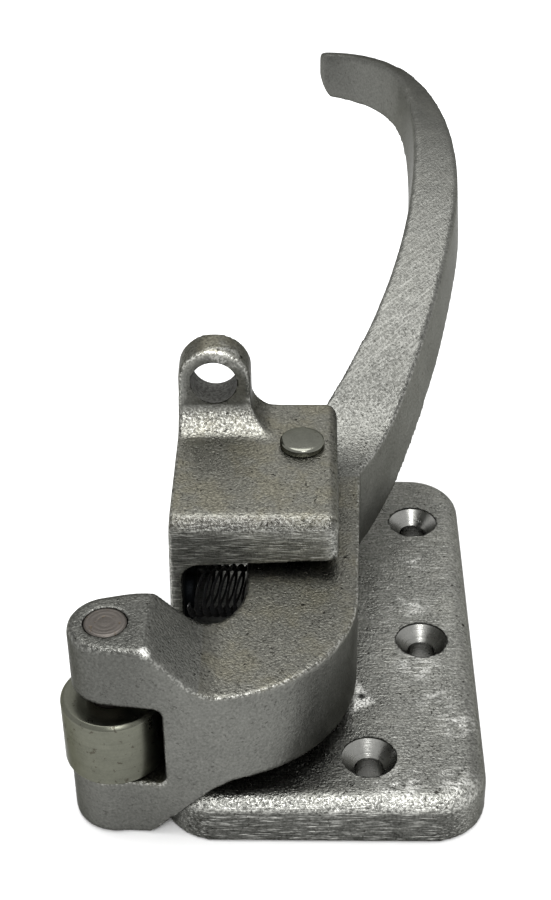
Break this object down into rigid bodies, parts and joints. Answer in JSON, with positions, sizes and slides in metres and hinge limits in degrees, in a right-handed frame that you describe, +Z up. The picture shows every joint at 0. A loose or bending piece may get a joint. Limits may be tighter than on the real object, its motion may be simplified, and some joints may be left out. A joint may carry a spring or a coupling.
{
  "type": "latch handle",
  "caption": "Cast roller latch: a curved hand lever turns a clevis with a roller on a screw plate whose capped housing carries the pivot and a padlock lug.",
  "frame": {"origin": "middle of the screw plate's underside, on the face that it is mounted by", "axes": "+Z up out of the mounting face, +Y along the plate towards the hand lever, +X to the screw side, away from the roller"},
  "size_m": [0.098, 0.2565, 0.0892],
  "materials": {
    "cast_body": "sand cast, partly sanded",
    "cast_handle": "sand cast, partly sanded",
    "pin_steel": "turned and riveted",
    "roller_steel": "plated, smooth",
    "spring_steel": "glossy black"
  },
  "bodies": {
    "base": {"base_casting": "cast_body", "pivot_pin": "pin_steel", "return_spring": "spring_steel"},
    "handle": {"handle_casting": "cast_handle", "roller_pin": "pin_steel"},
    "roller": {"roller": "roller_steel"}
  },
  "joints": [
    {"name": "handle_pivot", "type": "hinge", "parent": "base", "child": "handle", "pos_m": [-0.0054, 0.0133, 0.03], "axis": [0, 0, 1], "range_deg": [-22, 0], "stiffness_Nm_per_rad": 0.8, "springref_deg": 24.64, "deforming": ["return_spring"]},
    {"name": "roller_spin", "type": "hinge", "parent": "handle", "child": "roller", "pos_m": [-0.0472, -0.0498, 0.025], "axis": [0, 0, 1], "continuous": true}
  ]
}
